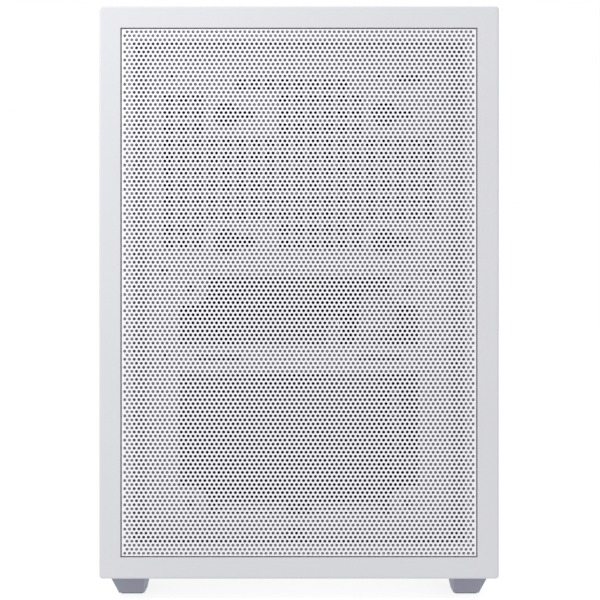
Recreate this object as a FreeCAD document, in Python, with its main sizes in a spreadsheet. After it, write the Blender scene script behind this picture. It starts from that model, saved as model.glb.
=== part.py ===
import FreeCAD, Part
import math
import os
import re
import Sketcher

# A compact upright desktop computer, millimetres.  +Z is up and the origin is on the floor under
# the middle of the box that holds the whole machine.  The perforated front looks along -Y, and the
# main board hangs on a tray on the +X side.

V = FreeCAD.Vector
OVER = 1.0          # how far a cutting tool runs past the sheet that it cuts

SIZES = {
    # the case as a whole
    "case_width": 190, "case_height": 272, "case_depth": 348, "foot_height": 11, "rear_proud": 2,
    "sheet": 1.0, "panel_gap": 0.4, "skirt": 10, "flange": 20,
    # front panel: a frame with a rebate that holds a perforated sheet
    "front_depth": 18, "frame_border": 10.2, "frame_wall": 2, "frame_face": 3.6, "ledge": 5.7,
    "mesh_recess": 0.6, "mesh_sheet": 0.8, "mesh_fold": 1.2, "mesh_gap": 0.6,
    "corner_radius": 1.6, "edge_radius": 1,
    # push-fit studs on the removable panels and their nylon sockets
    "stud_shank": 1.7, "stud_ball": 2.5, "stud_length": 9, "socket_radius": 4, "socket_wall": 1.1,
    "stud_inset": 20,
    # front plate of the chassis
    "plate_raise": 4.4, "plate_side_margin": 19.4, "plate_low_margin": 16.3,
    "plate_high_margin": 16.9, "plate_corner": 6,
    "vent": 5.2, "vent_pitch": 7, "vent_drop": 42.4,
    "fan_opening": 116, "fan_lift": 86, "fan_screws": 105, "fan_hole": 2.2, "fan_pad": 8.5,
    "bar_height": 13.4, "bar_lift": 11.5, "bar_thickness": 1.2,
    "drive_pitch_x": 76.6, "drive_pitch_z": 61.7, "drive_drop": 49.6, "drive_shift": 3,
    "keyhole": 6.2, "keyhole_slot": 4.7, "keyhole_reach": 14,
    # rear plate
    "slot_pitch": 20.32, "slot_height": 15, "slot_length": 112, "slot_lift": 13.2,
    "cover_height": 18.4, "io_height": 158.75, "io_width": 44.45,
    "rear_fan": 92, "rear_fan_screws": 82.5, "rear_fan_gap": 13.7, "rear_fan_drop": 46,
    "fan_depth": 25, "inlet_width": 27, "inlet_height": 20, "inlet_depth": 25, "inlet_lift": 115,
    "inlet_inset": 22,
    # strip with the power button and sockets on top
    "strip_depth": 20, "strip_thickness": 2, "button_radius": 6.5, "button_gap": 0.4,
    "button_travel": 1.5, "button_inset": 20, "port_pitch": 18,
    "top_opening": 124, "top_opening_length": 244,
    # board and what it carries
    "tray_space": 21.6, "standoff": 6.5, "board_thickness": 1.6, "board_size": 244,
    "board_lift": 12, "board_rear_gap": 1.2, "cpu_from_rear": 85, "cpu_from_top": 75,
    "cooler_fan": 120, "cooler_reach": 140, "fin_length": 102, "fin_depth": 45, "pipe_radius": 3,
    "pipe_spread": 34, "module_height": 33, "module_thickness": 7, "module_length": 133,
    # power supply
    "psu_width": 125, "psu_height": 100, "psu_depth": 63.5, "psu_gap": 8.6, "psu_headroom": 28.6,
    "psu_wall": 1.0, "psu_fan": 92, "psu_fan_depth": 15, "bracket": 1.2,
    # fan wheels
    "blade_count": 9, "hub_radius": 18, "tip_clearance": 1.5, "blade_chord": 17,
    "blade_thickness": 1.6, "pitch_root": 42, "pitch_tip": 24,
    # feet
    "foot_width": 18.1, "foot_length": 53, "foot_inset": 1.4, "foot_set_back": 1.6,
    "foot_taper_out": 5.8, "foot_taper_rear": 38, "pad_height": 0.5,
    # internal leads
    "mains_lead": 7, "power_bundle": 8, "signal_lead": 5,
}

PLACES = {
    "half_width": "case_width / 2",
    "front": "-(case_depth + rear_proud) / 2",
    "rear": "front + case_depth",
    "bottom": "foot_height",
    "top": "bottom + case_height",
    "middle": "(bottom + top) / 2",
    "front_back": "front + front_depth",
    "chassis_front": "front_back + panel_gap",
    "chassis_half": "half_width - sheet - panel_gap",
    "floor_top": "bottom + sheet",
    "roof": "top - sheet - panel_gap",
    "rear_inner": "rear - sheet",
    "side_low": "bottom + skirt + panel_gap",
    "side_high": "top - skirt - panel_gap",
    "strip_rear": "chassis_front + strip_depth",
    "strip_under": "top - strip_thickness",
    "opening_half": "half_width - frame_border",
    "opening_low": "bottom + frame_border",
    "opening_high": "top - frame_border",
    "mesh_front": "front + mesh_recess",
    "mesh_back": "mesh_front + mesh_sheet",
    "mesh_seat": "mesh_back + mesh_fold",
    "frame_back": "front + frame_face",
    "raised_front": "chassis_front - plate_raise",
    "raised_half": "chassis_half - plate_side_margin",
    "raised_low": "bottom + plate_low_margin",
    "raised_high": "top - plate_high_margin",
    "fan_z": "bottom + fan_lift",
    "stud_x": "chassis_half - plate_side_margin / 2",
    "tray_face": "chassis_half - tray_space",
    "board_back": "tray_face - standoff",
    "board_face": "board_back - board_thickness",
    "board_rear": "rear_inner - board_rear_gap",
    "board_front": "board_rear - board_size",
    "board_low": "bottom + board_lift",
    "board_high": "board_low + board_size",
    "cpu_y": "board_rear - cpu_from_rear",
    "cpu_z": "board_high - cpu_from_top",
    "io_right": "board_back + 0.65",
    "io_left": "io_right - io_width",
    "io_top": "board_high - 1",
    "io_low": "io_top - io_height",
    "slot_z": "board_low + slot_lift",
    "slot_right": "board_face",
    "slot_left": "slot_right - slot_length",
    "rear_fan_x": "io_left - rear_fan_gap - rear_fan / 2",
    "rear_fan_z": "board_high - rear_fan_drop",
    "rear_fan_front": "rear_inner - fan_depth",
    "inlet_x": "-(chassis_half - inlet_inset - inlet_width / 2)",
    "inlet_z": "board_low + inlet_lift",
    "psu_front": "chassis_front + psu_gap",
    "psu_rear": "psu_front + psu_depth",
    "psu_top": "roof - psu_headroom",
    "psu_low": "psu_top - psu_height",
    "psu_z": "(psu_top + psu_low) / 2",
    "psu_fan_front": "psu_front + psu_wall",
    "base_back": "board_face - 5",
    "base_front": "base_back - 10",
    "fin_top": "board_face - cooler_reach",
    "fin_low": "fin_top + fin_length",
    "fin_x": "(fin_top + fin_low) / 2",
    "fin_front": "cpu_y - fin_depth / 2 + 12",
    "fin_rear": "fin_front + fin_depth",
    "cooler_fan_front": "fin_front - fan_depth",
    "button_x": "half_width - button_inset",
    "strip_y": "(chassis_front + strip_rear) / 2",
    "io_board_top": "top - 17",
    "foot_outer": "half_width - foot_inset",
    "foot_inner": "foot_outer - foot_width",
    "foot_front": "chassis_front + foot_set_back",
    "foot_back": "rear - 18",
}

doc = FreeCAD.newDocument("compact_desktop_tower")


def add_sheet(name, cells):
    """A spreadsheet with one named cell a row."""
    table = doc.addObject("Spreadsheet::Sheet", name)
    for row, (alias, content) in enumerate(cells.items(), 1):
        table.set(f"A{row}", alias)
        table.set(f"B{row}", str(content))
        table.setAlias(f"B{row}", alias)
    return table


def bound(text, here=None):
    """The expression with each name given the sheet that holds it."""
    def full(match):
        word = match.group(0)
        for sheet_name, cells in (("Sizes", SIZES), ("Places", PLACES)):
            if word in cells:
                return word if sheet_name == here else f"{sheet_name}.{word}"
        return word
    return re.sub(r"[a-z_]+", full, str(text))


sizes = add_sheet("Sizes", SIZES)
places = add_sheet("Places", {name: "=" + bound(text, "Places") for name, text in PLACES.items()})
doc.recompute()
NODES = []
SCREWS = []         # every screw inside the case, collected into one sub-part at the end


def value(name):
    """The number that a named cell holds."""
    return float((sizes if name in SIZES else places).get(name))


def bind(item, prop, text):
    """Ties one property of an object to an expression of the sheets' names."""
    item.setExpression(prop, bound(text))


def keep(item):
    """Marks an object as a finished sub-part, written under its own name."""
    NODES.append(item)
    return item


# ---------------------------------------------------------------- Part primitives and booleans

TURNS = {"x": FreeCAD.Rotation(V(0, 1, 0), 90), "y": FreeCAD.Rotation(V(1, 0, 0), -90),
         "z": FreeCAD.Rotation()}


def box(name, x, y, z):
    """A box given by its (low, high) places along each axis."""
    solid = doc.addObject("Part::Box", name)
    for prop, axis, (low, high) in (("Length", "x", x), ("Width", "y", y), ("Height", "z", z)):
        bind(solid, prop, f"({high}) - ({low})")
        bind(solid, f"Placement.Base.{axis}", low)
    return solid


def rod(name, axis, centre, span, radius):
    """A cylinder along an axis; centre gives the other two places in x, y, z order."""
    low, high = span
    solid = doc.addObject("Part::Cylinder", name)
    solid.Placement = FreeCAD.Placement(V(0, 0, 0), TURNS[axis])
    bind(solid, "Radius", radius)
    bind(solid, "Height", f"({high}) - ({low})")
    spots = dict(zip([other for other in "xyz" if other != axis], centre))
    spots[axis] = low
    for direction, place in spots.items():
        bind(solid, f"Placement.Base.{direction}", place)
    return solid


def cone(name, axis, centre, span, low_radius, high_radius):
    """A cone along an axis, placed as a rod is."""
    low, high = span
    solid = doc.addObject("Part::Cone", name)
    solid.Placement = FreeCAD.Placement(V(0, 0, 0), TURNS[axis])
    bind(solid, "Radius1", low_radius)
    bind(solid, "Radius2", high_radius)
    bind(solid, "Height", f"({high}) - ({low})")
    spots = dict(zip([other for other in "xyz" if other != axis], centre))
    spots[axis] = low
    for direction, place in spots.items():
        bind(solid, f"Placement.Base.{direction}", place)
    return solid


def fuse(name, *solids):
    joined = doc.addObject("Part::MultiFuse", name)
    joined.Shapes = list(solids)
    joined.Refine = True
    return joined


def cut(name, base, *tools):
    """The base without the tools, which are joined first when there are several."""
    result = doc.addObject("Part::Cut", name)
    result.Base = base
    result.Tool = tools[0] if len(tools) == 1 else fuse(name + "_tools", *tools)
    return result


def group(name, *solids):
    """Separate solids that share one sub-part."""
    together = doc.addObject("Part::Compound", name)
    together.Links = list(solids)
    return together


def feature(name, shape):
    """A sub-part whose shape is made directly from the sheets' numbers."""
    item = doc.addObject("Part::Feature", name)
    item.Shape = shape
    return item


def square_holes(name, centres, across, low, high):
    """Cutters for square vents through a sheet that lies across Y."""
    half = across / 2
    return feature(name, Part.makeCompound([
        Part.makeBox(across, high - low, across, V(x - half, low, z - half)) for x, z in centres]))


# ---------------------------------------------------------------- PartDesign

def origin_item(body, role):
    return [item for item in body.Origin.OriginFeatures if item.Role == role][0]


def sketch_on(body, name, role, centre, level):
    """An empty sketch on an origin plane, its own origin at centre and level along the normal."""
    sketch = body.newObject("Sketcher::SketchObject", name)
    sketch.AttachmentSupport = [(origin_item(body, role), "")]
    sketch.MapMode = "FlatFace"
    for direction, place in zip("xyz", (*centre, level)):
        bind(sketch, f"AttachmentOffset.Base.{direction}", place)
    return sketch


def name_size(sketch, constraint, name, text):
    sketch.renameConstraint(sketch.addConstraint(constraint), name)
    bind(sketch, f"Constraints.{name}", text)


def rectangle(body, name, role, centre, level, width, height):
    """A sketched rectangle about centre."""
    sketch = sketch_on(body, name, role, centre, level)
    corners = [V(-5, -5, 0), V(5, -5, 0), V(5, 5, 0), V(-5, 5, 0)]
    for start in range(4):
        sketch.addGeometry(Part.LineSegment(corners[start], corners[(start + 1) % 4]), False)
    rules = [Sketcher.Constraint("Coincident", line, 2, (line + 1) % 4, 1) for line in range(4)]
    rules += [Sketcher.Constraint("Horizontal", line) for line in (0, 2)]
    rules += [Sketcher.Constraint("Vertical", line) for line in (1, 3)]
    rules.append(Sketcher.Constraint("Symmetric", 0, 1, 1, 2, -1, 1))
    sketch.addConstraint(rules)
    name_size(sketch, Sketcher.Constraint("DistanceX", 0, 1, 0, 2, 10), "width", width)
    name_size(sketch, Sketcher.Constraint("DistanceY", 1, 1, 1, 2, 10), "height", height)
    return sketch


def circle(body, name, role, centre, level, radius):
    """A sketched circle about centre."""
    sketch = sketch_on(body, name, role, centre, level)
    sketch.addGeometry(Part.Circle(V(0, 0, 0), V(0, 0, 1), 5), False)
    sketch.addConstraint(Sketcher.Constraint("Coincident", 0, 3, -1, 1))
    name_size(sketch, Sketcher.Constraint("Radius", 0, 5), "radius", radius)
    return sketch


def pad(body, name, profile, length):
    item = body.newObject("PartDesign::Pad", name)
    item.Profile = profile
    bind(item, "Length", length)
    return item


def pocket(body, name, profile, length, reverse=False):
    item = body.newObject("PartDesign::Pocket", name)
    item.Profile = profile
    item.Reversed = reverse
    bind(item, "Length", length)
    return item


def round_edges(body, name, base, radius, wanted):
    """A fillet on the edges that wanted() picks; the base must be computed."""
    doc.recompute()
    edges = [f"Edge{number}" for number, edge in enumerate(base.Shape.Edges, 1) if wanted(edge)]
    item = body.newObject("PartDesign::Fillet", name)
    item.Base = (base, edges)
    bind(item, "Radius", radius)
    return item


def runs_along(edge, direction):
    if edge.Curve.TypeId != "Part::GeomLine":
        return False
    return abs(abs(edge.tangentAt(edge.FirstParameter).dot(direction)) - 1) < 1e-6


# ---------------------------------------------------------------- leads

def tube(points, diameter, label):
    """A round lead along straight runs joined by tangent arcs; prints its bends."""
    edges = []
    start = points[0]
    radii = []
    for before, corner, after in zip(points, points[1:], points[2:]):
        inward = (corner - before).normalize()
        outward = (after - corner).normalize()
        turn = inward.getAngle(outward)
        trim = 0.45 * min((corner - before).Length, (after - corner).Length)
        radius = trim / math.tan(turn / 2)
        bisector = (outward - inward).normalize()
        middle = corner + bisector * (radius / math.cos(turn / 2) - radius)
        arc_start = corner - inward * trim
        arc_end = corner + outward * trim
        edges.append(Part.LineSegment(start, arc_start).toShape())
        edges.append(Part.Arc(arc_start, middle, arc_end).toShape())
        start = arc_end
        radii.append(round(radius, 1))
    edges.append(Part.LineSegment(start, points[-1]).toShape())
    path = Part.Wire(edges)
    ring = Part.Wire(Part.makeCircle(diameter / 2, points[0], points[1] - points[0]))
    solid = path.makePipeShell([ring], True, True)
    expected = math.pi * diameter ** 2 / 4 * path.Length
    print(f"{label}: length {path.Length:.1f}, volume over section x length "
          f"{solid.Volume / expected:.4f}, bend radii {radii}")
    return solid


# ---------------------------------------------------------------- studs and sockets

def stud(name, axis, direction, base, centre):
    """A push-fit stud that points along direction from base: shank, collar and tapered nose."""
    places_along = [f"({base}) + {direction} * ({step})"
                    for step in ("0", "stud_length - 5", "stud_length - 2.5", "stud_length")]
    if direction < 0:
        places_along.reverse()
    spans = list(zip(places_along, places_along[1:]))
    if direction < 0:
        spans.reverse()
    shank = rod(name + "_shank", axis, centre, spans[0], "stud_shank")
    collar = rod(name + "_collar", axis, centre, spans[1], "stud_ball")
    radii = ("stud_ball", "stud_shank / 2")
    if direction < 0:
        radii = radii[::-1]
    nose = cone(name + "_nose", axis, centre, spans[2], *radii)
    return fuse(name, shank, collar, nose)


def socket(name, axis, span, centre):
    """A nylon ring that takes one stud."""
    outer = rod(name + "_outer", axis, centre, span, "socket_radius")
    low, high = span
    bore = rod(name + "_bore", axis, centre, (f"({low}) - 1", f"({high}) + 1"),
               "socket_radius - socket_wall")
    return cut(name, outer, bore)


FRONT_STUDS = [("-stud_x", "bottom + stud_inset / 2 + 1"), ("stud_x", "bottom + stud_inset / 2 + 1"),
               ("-stud_x", "top - stud_inset"), ("stud_x", "top - stud_inset")]
SIDE_STUDS = [("chassis_front + 11", "bottom + 26"), ("chassis_front + 11", "top - 26"),
              ("rear_inner - 11", "bottom + 26"), ("rear_inner - 11", "top - 26")]
TOP_STUDS = [("-stud_x", "strip_rear + 16"), ("stud_x", "strip_rear + 16"),
             ("-stud_x", "rear_inner - 24"), ("stud_x", "rear_inner - 24")]


def make_studs_and_sockets():
    sockets = []
    front = []
    for number, (x, z) in enumerate(FRONT_STUDS):
        boss = rod(f"front_boss_{number}", "y", (x, z), ("frame_back", "front_back"),
                   "stud_ball * 2")
        peg = stud(f"front_stud_{number}", "y", 1, "front_back", (x, z))
        front.append(fuse(f"front_peg_{number}", boss, peg))
        sockets.append(socket(f"front_socket_{number}", "y",
                              ("chassis_front", "chassis_front + 6"), (x, z)))
    keep(group("front_studs", *front))
    for side, sign in (("left", -1), ("right", 1)):
        pegs = []
        for number, (y, z) in enumerate(SIDE_STUDS):
            name = f"{side}_stud_{number}"
            pegs.append(stud(name, "x", -sign, f"{sign} * (half_width - sheet)", (y, z)))
            edge, deep = f"{sign} * chassis_half", f"{sign} * (chassis_half - 6)"
            span = (edge, deep) if sign < 0 else (deep, edge)
            sockets.append(socket(f"{side}_socket_{number}", "x", span, (y, z)))
        keep(group(f"{side}_panel_studs", *pegs))
    pegs = []
    for number, (x, y) in enumerate(TOP_STUDS):
        pegs.append(stud(f"top_stud_{number}", "z", -1, "top - sheet", (x, y)))
        sockets.append(socket(f"top_socket_{number}", "z", ("roof - 6", "roof"), (x, y)))
    keep(group("top_panel_studs", *pegs))
    keep(group("panel_sockets", *sockets))


# ---------------------------------------------------------------- outer panels

def make_front_frame():
    """A rectangular frame with a rebate in its face and a hollow back."""
    body = doc.addObject("PartDesign::Body", "front_frame")
    centre = ("0", "middle")
    outline = rectangle(body, "outline", "XZ_Plane", centre, "-front_back",
                        "case_width", "case_height")
    pad(body, "block", outline, "front_depth")
    rebate = rectangle(body, "rebate_outline", "XZ_Plane", centre, "-front",
                       "2 * opening_half", "opening_high - opening_low")
    pocket(body, "rebate", rebate, "mesh_recess + mesh_sheet + mesh_fold")
    hollow = rectangle(body, "hollow_outline", "XZ_Plane", centre, "-front_back",
                       "case_width - 2 * frame_wall", "case_height - 2 * frame_wall")
    pocket(body, "hollow", hollow, "front_depth - frame_face", reverse=True)
    window = rectangle(body, "window_outline", "XZ_Plane", centre, "-front",
                       "2 * (opening_half - ledge)", "opening_high - opening_low - 2 * ledge")
    opened = pocket(body, "window", window, "frame_face + 1")
    doc.recompute()
    half = value("half_width")

    def outer_corner(edge):
        return runs_along(edge, V(0, 1, 0)) and abs(abs(edge.Vertexes[0].X) - half) < 1e-6
    rounded = round_edges(body, "corners", opened, "corner_radius", outer_corner)
    doc.recompute()
    front = value("front")
    opening = value("opening_half")

    def front_rim(edge):
        return (all(abs(vertex.Y - front) < 1e-6 for vertex in edge.Vertexes)
                and max(abs(vertex.X) for vertex in edge.Vertexes) > opening + 1)
    body.Tip = round_edges(body, "front_edge", rounded, "edge_radius", front_rim)
    keep(body)


def make_front_panel():
    """The frame and the perforated sheet, whose edges are folded back onto the frame's ledge."""
    make_front_frame()
    x = ("-opening_half + mesh_gap", "opening_half - mesh_gap")
    z = ("opening_low + mesh_gap", "opening_high - mesh_gap")
    pan = box("mesh_pan", x, ("mesh_front", "mesh_seat"), z)
    hollow = box("mesh_hollow", (f"{x[0]} + mesh_sheet", f"{x[1]} - mesh_sheet"),
                 ("mesh_back", "mesh_seat + 1"),
                 (f"{z[0]} + mesh_sheet", f"{z[1]} - mesh_sheet"))
    keep(cut("front_mesh", pan, hollow))


def make_side_panels():
    for name, low, high in (("left_panel", "-half_width", "-half_width + sheet"),
                            ("right_panel", "half_width - sheet", "half_width")):
        keep(box(name, (low, high), ("chassis_front", "rear"), ("side_low", "side_high")))


def make_top_panel():
    y = ("strip_rear + panel_gap", "rear")
    cover = box("top_cover", ("-half_width", "half_width"), y, ("top - sheet", "top"))
    left = box("top_skirt_left", ("-half_width", "-half_width + sheet"), y, ("top - skirt", "top"))
    right = box("top_skirt_right", ("half_width - sheet", "half_width"), y, ("top - skirt", "top"))
    keep(fuse("top_panel", cover, left, right))


# ---------------------------------------------------------------- chassis

def make_floor():
    """The floor tray with low skirts on both sides and a row of vents."""
    y = ("chassis_front", "rear")
    plate = box("floor_plate", ("-half_width", "half_width"), y, ("bottom", "floor_top"))
    left = box("floor_left", ("-half_width", "-half_width + sheet"), y, ("bottom", "bottom + skirt"))
    right = box("floor_right", ("half_width - sheet", "half_width"), y,
                ("bottom", "bottom + skirt"))
    slots = [box(f"floor_vent_{row}_{side}", (f"{side} - 22", f"{side} + 22"),
                 (f"{row} * 9 - 60", f"{row} * 9 - 56.5"), (f"bottom - {OVER}", "floor_top + 1"))
             for row in range(16) for side in (-30, 30)]
    keep(cut("chassis_floor", fuse("floor_tray", plate, left, right),
             group("floor_vents", *slots)))


def fan_window():
    """The opening for a 120 mm fan: a square with a pad left in each corner for its screw."""
    half = "fan_opening / 2"
    span = (f"raised_front - {OVER}", f"raised_front + sheet + {OVER}")
    blank = box("window_blank", (f"-{half}", half), span, (f"fan_z - {half}", f"fan_z + {half}"))
    pads = []
    for number, (side, level) in enumerate([(-1, -1), (1, -1), (-1, 1), (1, 1)]):
        x = f"{side} * fan_screws / 2"
        z = f"fan_z + {level} * fan_screws / 2"
        pads.append(rod(f"window_pad_{number}", "y", (x, z), span, "fan_pad"))
        outer = f"{side} * ({half} + 1)"
        inner = f"{side} * (fan_screws / 2 - fan_pad)"
        high = f"fan_z + {level} * ({half} + 1)"
        low = f"fan_z + {level} * (fan_screws / 2 - fan_pad)"
        x_wide = (inner, outer) if side > 0 else (outer, inner)
        x_thin = (x, outer) if side > 0 else (outer, x)
        z_wide = (low, high) if level > 0 else (high, low)
        z_thin = (z, high) if level > 0 else (high, z)
        pads.append(box(f"window_pad_side_{number}", x_thin, span, z_wide))
        pads.append(box(f"window_pad_end_{number}", x_wide, span, z_thin))
    return cut("fan_window", blank, *pads)


def vent_centres():
    """Where the square vents of the front plate are, row by row from the top."""
    pitch = value("vent_pitch")
    first = value("top") - value("vent_drop")
    every = range(19)
    narrow = [*range(0, 3), *range(8, 14)]
    rows = {-2: range(5, 12), -1: range(5, 13)}
    rows.update({row: narrow if row < 3 or row > 8 else every for row in range(11)})
    return [((column - 9) * pitch, first - row * pitch)
            for row, columns in rows.items() for column in columns]


def keyholes():
    """Four drive mounting keyholes: a round entry with a slot to its right."""
    tools = []
    span = (f"raised_front - {OVER}", f"raised_front + sheet + {OVER}")
    for number, (side, level) in enumerate([(-1, 0), (1, 0), (-1, 1), (1, 1)]):
        x = f"drive_shift + {side} * drive_pitch_x / 2"
        z = f"top - drive_drop - {level} * drive_pitch_z"
        tools.append(rod(f"keyhole_{number}", "y", (x, z), span, "keyhole"))
        tools.append(box(f"keyhole_slot_{number}", (x, f"{x} + keyhole_reach - keyhole_slot / 2"),
                         span, (f"{z} - keyhole_slot / 2", f"{z} + keyhole_slot / 2")))
        tools.append(rod(f"keyhole_end_{number}", "y",
                         (f"{x} + keyhole_reach - keyhole_slot / 2", z), span, "keyhole_slot / 2"))
    return tools


def make_front_plate():
    """The pressed steel front of the chassis: a base with side flanges and a raised field."""
    centre = ("0", "(raised_low + raised_high) / 2")
    body = doc.addObject("PartDesign::Body", "front_plate_pressing")
    base = rectangle(body, "plate_base", "XZ_Plane", ("0", "(floor_top + strip_under) / 2"),
                     "-(chassis_front + sheet)", "2 * chassis_half", "strip_under - floor_top")
    pad(body, "plate", base, "sheet")
    field = rectangle(body, "plate_field", "XZ_Plane", centre, "-(chassis_front + sheet)",
                      "2 * raised_half", "raised_high - raised_low")
    raised = pad(body, "field", field, "plate_raise + sheet")
    doc.recompute()
    half = value("raised_half")

    def field_corner(edge):
        return runs_along(edge, V(0, 1, 0)) and abs(abs(edge.Vertexes[0].X) - half) < 1e-6
    round_edges(body, "field_corners", raised, "plate_corner", field_corner)
    inside = rectangle(body, "plate_inside", "XZ_Plane", centre, "-(chassis_front + sheet)",
                       "2 * (raised_half - sheet)", "raised_high - raised_low - 2 * sheet")
    body.Tip = pocket(body, "inside", inside, "plate_raise", reverse=True)
    span = (f"raised_front - {OVER}", f"raised_front + sheet + {OVER}")
    through = (f"raised_front - {OVER}", f"chassis_front + sheet + {OVER}")
    flanges = [box(f"plate_flange_{side}", x, ("chassis_front", "chassis_front + flange"),
                   ("floor_top", "strip_under"))
               for side, x in (("left", ("-chassis_half", "-chassis_half + sheet")),
                               ("right", ("chassis_half - sheet", "chassis_half")))]
    bosses = [box(f"plate_boss_{number}", (x, f"{x} + 15"), ("raised_front - 0.5", "raised_front"),
                  ("top - 33", "top - 24")) for number, x in enumerate((-52, 23))]
    blank = fuse("front_plate_blank", body, *flanges, *bosses)
    holes = [rod(f"screw_hole_{number}", "y",
                 (f"{side} * fan_screws / 2", f"fan_z + {level} * fan_screws / 2"), span, "fan_hole")
             for number, (side, level) in enumerate([(-1, -1), (1, -1), (-1, 1), (1, 1)])]
    small = [(-62, "top - 30"), (38.4, "top - 30"), (62.7, "top - 30"), (-65.4, "fan_z + 60.5"),
             (65.4, "fan_z + 60.5"), (-64.2, "fan_z + 19.1")]
    holes += [rod(f"small_hole_{number}", "y", place, span, 1.8)
              for number, place in enumerate(small)]
    lock = box("lock_cutout", (47.6, 59.3), span, ("top - 34.5", "top - 22.8"))
    notch = rod("pull_notch", "y", (-2.5, "raised_low"), through, 6.5)
    hooks = [box(f"hook_slot_{side}", (x, x + 6), through, ("fan_z + 51.3", "fan_z + 52.9"))
             for side, x in ((0, -81), (1, 75.6))]
    sockets = [rod(f"plate_socket_hole_{number}", "y", place,
                   (f"chassis_front - {OVER}", f"chassis_front + sheet + {OVER}"), "socket_radius")
               for number, place in enumerate(FRONT_STUDS)]
    sides = [rod(f"flange_socket_hole_{number}", "x", SIDE_STUDS[number],
                 ("-chassis_half - 1", "chassis_half + 1"), "socket_radius") for number in (0, 1)]
    plain = cut("front_plate_cut", blank, fan_window(), *keyholes(), *holes, lock, notch, *hooks,
                *sockets, *sides)
    vents = square_holes("front_vents", vent_centres(), value("vent"),
                         value("raised_front") - OVER, value("raised_front") + value("sheet") + OVER)
    keep(cut("chassis_front_plate", plain, vents))
    low = "fan_z + bar_lift"
    bar_y = ("raised_front + sheet", "raised_front + sheet + bar_thickness")
    bar = box("bar_blank", ("-fan_opening / 2 - 6", "fan_opening / 2 + 6"), bar_y,
              (low, f"{low} + bar_height"))
    keep(bar_with_slots(bar, bar_y, low))


def bar_with_slots(bar, span, low):
    """The flat cross bar of the fan opening, with two long adjusting slots."""
    slots = [box(f"bar_slot_{number}", (x, x + 22), span,
                 (f"{low} + bar_height / 2 - 1.6", f"{low} + bar_height / 2 + 1.6"))
             for number, x in enumerate((-50, 28))]
    return cut("fan_cross_bar", bar, *slots)


def rear_cutters():
    """Everything that goes through the rear plate."""
    span = (f"rear_inner - {OVER}", f"rear + {OVER}")
    tools = [box("io_cut", ("io_left", "io_right"), span, ("io_low", "io_top")),
             box("inlet_cut", ("inlet_x - inlet_width / 2", "inlet_x + inlet_width / 2"), span,
                 ("inlet_z - inlet_height / 2", "inlet_z + inlet_height / 2"))]
    for number in range(4):
        z = f"slot_z + {number} * slot_pitch"
        tools.append(box(f"slot_cut_{number}", ("slot_left", "slot_right"), span,
                         (f"{z} - slot_height / 2", f"{z} + slot_height / 2")))
    for number, (side, level) in enumerate([(-1, -1), (1, -1), (-1, 1), (1, 1)]):
        tools.append(rod(f"rear_screw_hole_{number}", "y",
                         (f"rear_fan_x + {side} * rear_fan_screws / 2",
                          f"rear_fan_z + {level} * rear_fan_screws / 2"), span, "fan_hole"))
    return tools


def rear_vent_centres():
    """Square vents in a disc behind the rear fan."""
    pitch = value("vent_pitch")
    reach = value("rear_fan") / 2 - 4
    centre_x, centre_z = value("rear_fan_x"), value("rear_fan_z")
    steps = range(-6, 7)
    return [(centre_x + column * pitch, centre_z + row * pitch) for column in steps for row in steps
            if math.hypot(column, row) * pitch + value("vent") / 2 < reach]


def make_rear_plate():
    y = ("rear_inner", "rear")
    plate = box("rear_sheet", ("-chassis_half", "chassis_half"), y, ("floor_top", "roof - sheet"))
    flanges = [box(f"rear_flange_{side}", x, ("rear_inner - flange", "rear"),
                   ("floor_top", "roof - sheet"))
               for side, x in (("left", ("-chassis_half", "-chassis_half + sheet")),
                               ("right", ("chassis_half - sheet", "chassis_half")))]
    ledge_x = ("slot_left - 2", "slot_left - 1")
    low = "slot_z - slot_pitch / 2 - 2"
    high = "slot_z + 3.5 * slot_pitch + 2"
    ledge = box("slot_ledge", ledge_x, ("rear_inner - 14", "rear_inner - sheet"), (low, high))
    ends = [box(f"slot_ledge_end_{number}", ledge_x, ("rear_inner - 14", "rear_inner"), z)
            for number, z in enumerate(((low, f"{low} + 2.5"), (f"{high} - 2.5", high)))]
    blank = fuse("rear_blank", plate, *flanges, ledge, *ends)
    sides = [rod(f"rear_socket_hole_{number}", "x", SIDE_STUDS[number],
                 ("-chassis_half - 1", "chassis_half + 1"), "socket_radius") for number in (2, 3)]
    plain = cut("rear_plain", blank, *rear_cutters(), *sides)
    vents = square_holes("rear_vents", rear_vent_centres(), value("vent"),
                         value("rear_inner") - OVER, value("rear") + OVER)
    keep(cut("chassis_rear_plate", plain, vents))


def make_top_frame():
    """The steel frame under the top panel, open for two fans."""
    plate = box("top_plate", ("-chassis_half", "chassis_half"), ("strip_rear", "rear"),
                ("roof - sheet", "roof"))
    flanges = [box(f"top_flange_{side}", x, ("strip_rear", "rear_inner - flange"),
                   ("roof - 9", "roof"))
               for side, x in (("left", ("-chassis_half", "-chassis_half + sheet")),
                               ("right", ("chassis_half - sheet", "chassis_half")))]
    half = "top_opening_length / 4 - 4"
    middle = "(strip_rear + rear_inner) / 2"
    holes = []
    for number, shift in enumerate((-1, 1)):
        centre = f"{middle} + {shift} * top_opening_length / 4"
        holes.append(box(f"top_window_{number}", ("-top_opening / 2", "top_opening / 2"),
                         (f"{centre} - ({half})", f"{centre} + ({half})"),
                         ("roof - sheet - 1", "roof + 1")))
    holes += [rod(f"top_socket_hole_{number}", "z", place, ("roof - sheet - 1", "roof + 1"),
                  "socket_radius") for number, place in enumerate(TOP_STUDS)]
    keep(cut("chassis_top_frame", fuse("top_frame_blank", plate, *flanges), *holes))


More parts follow.
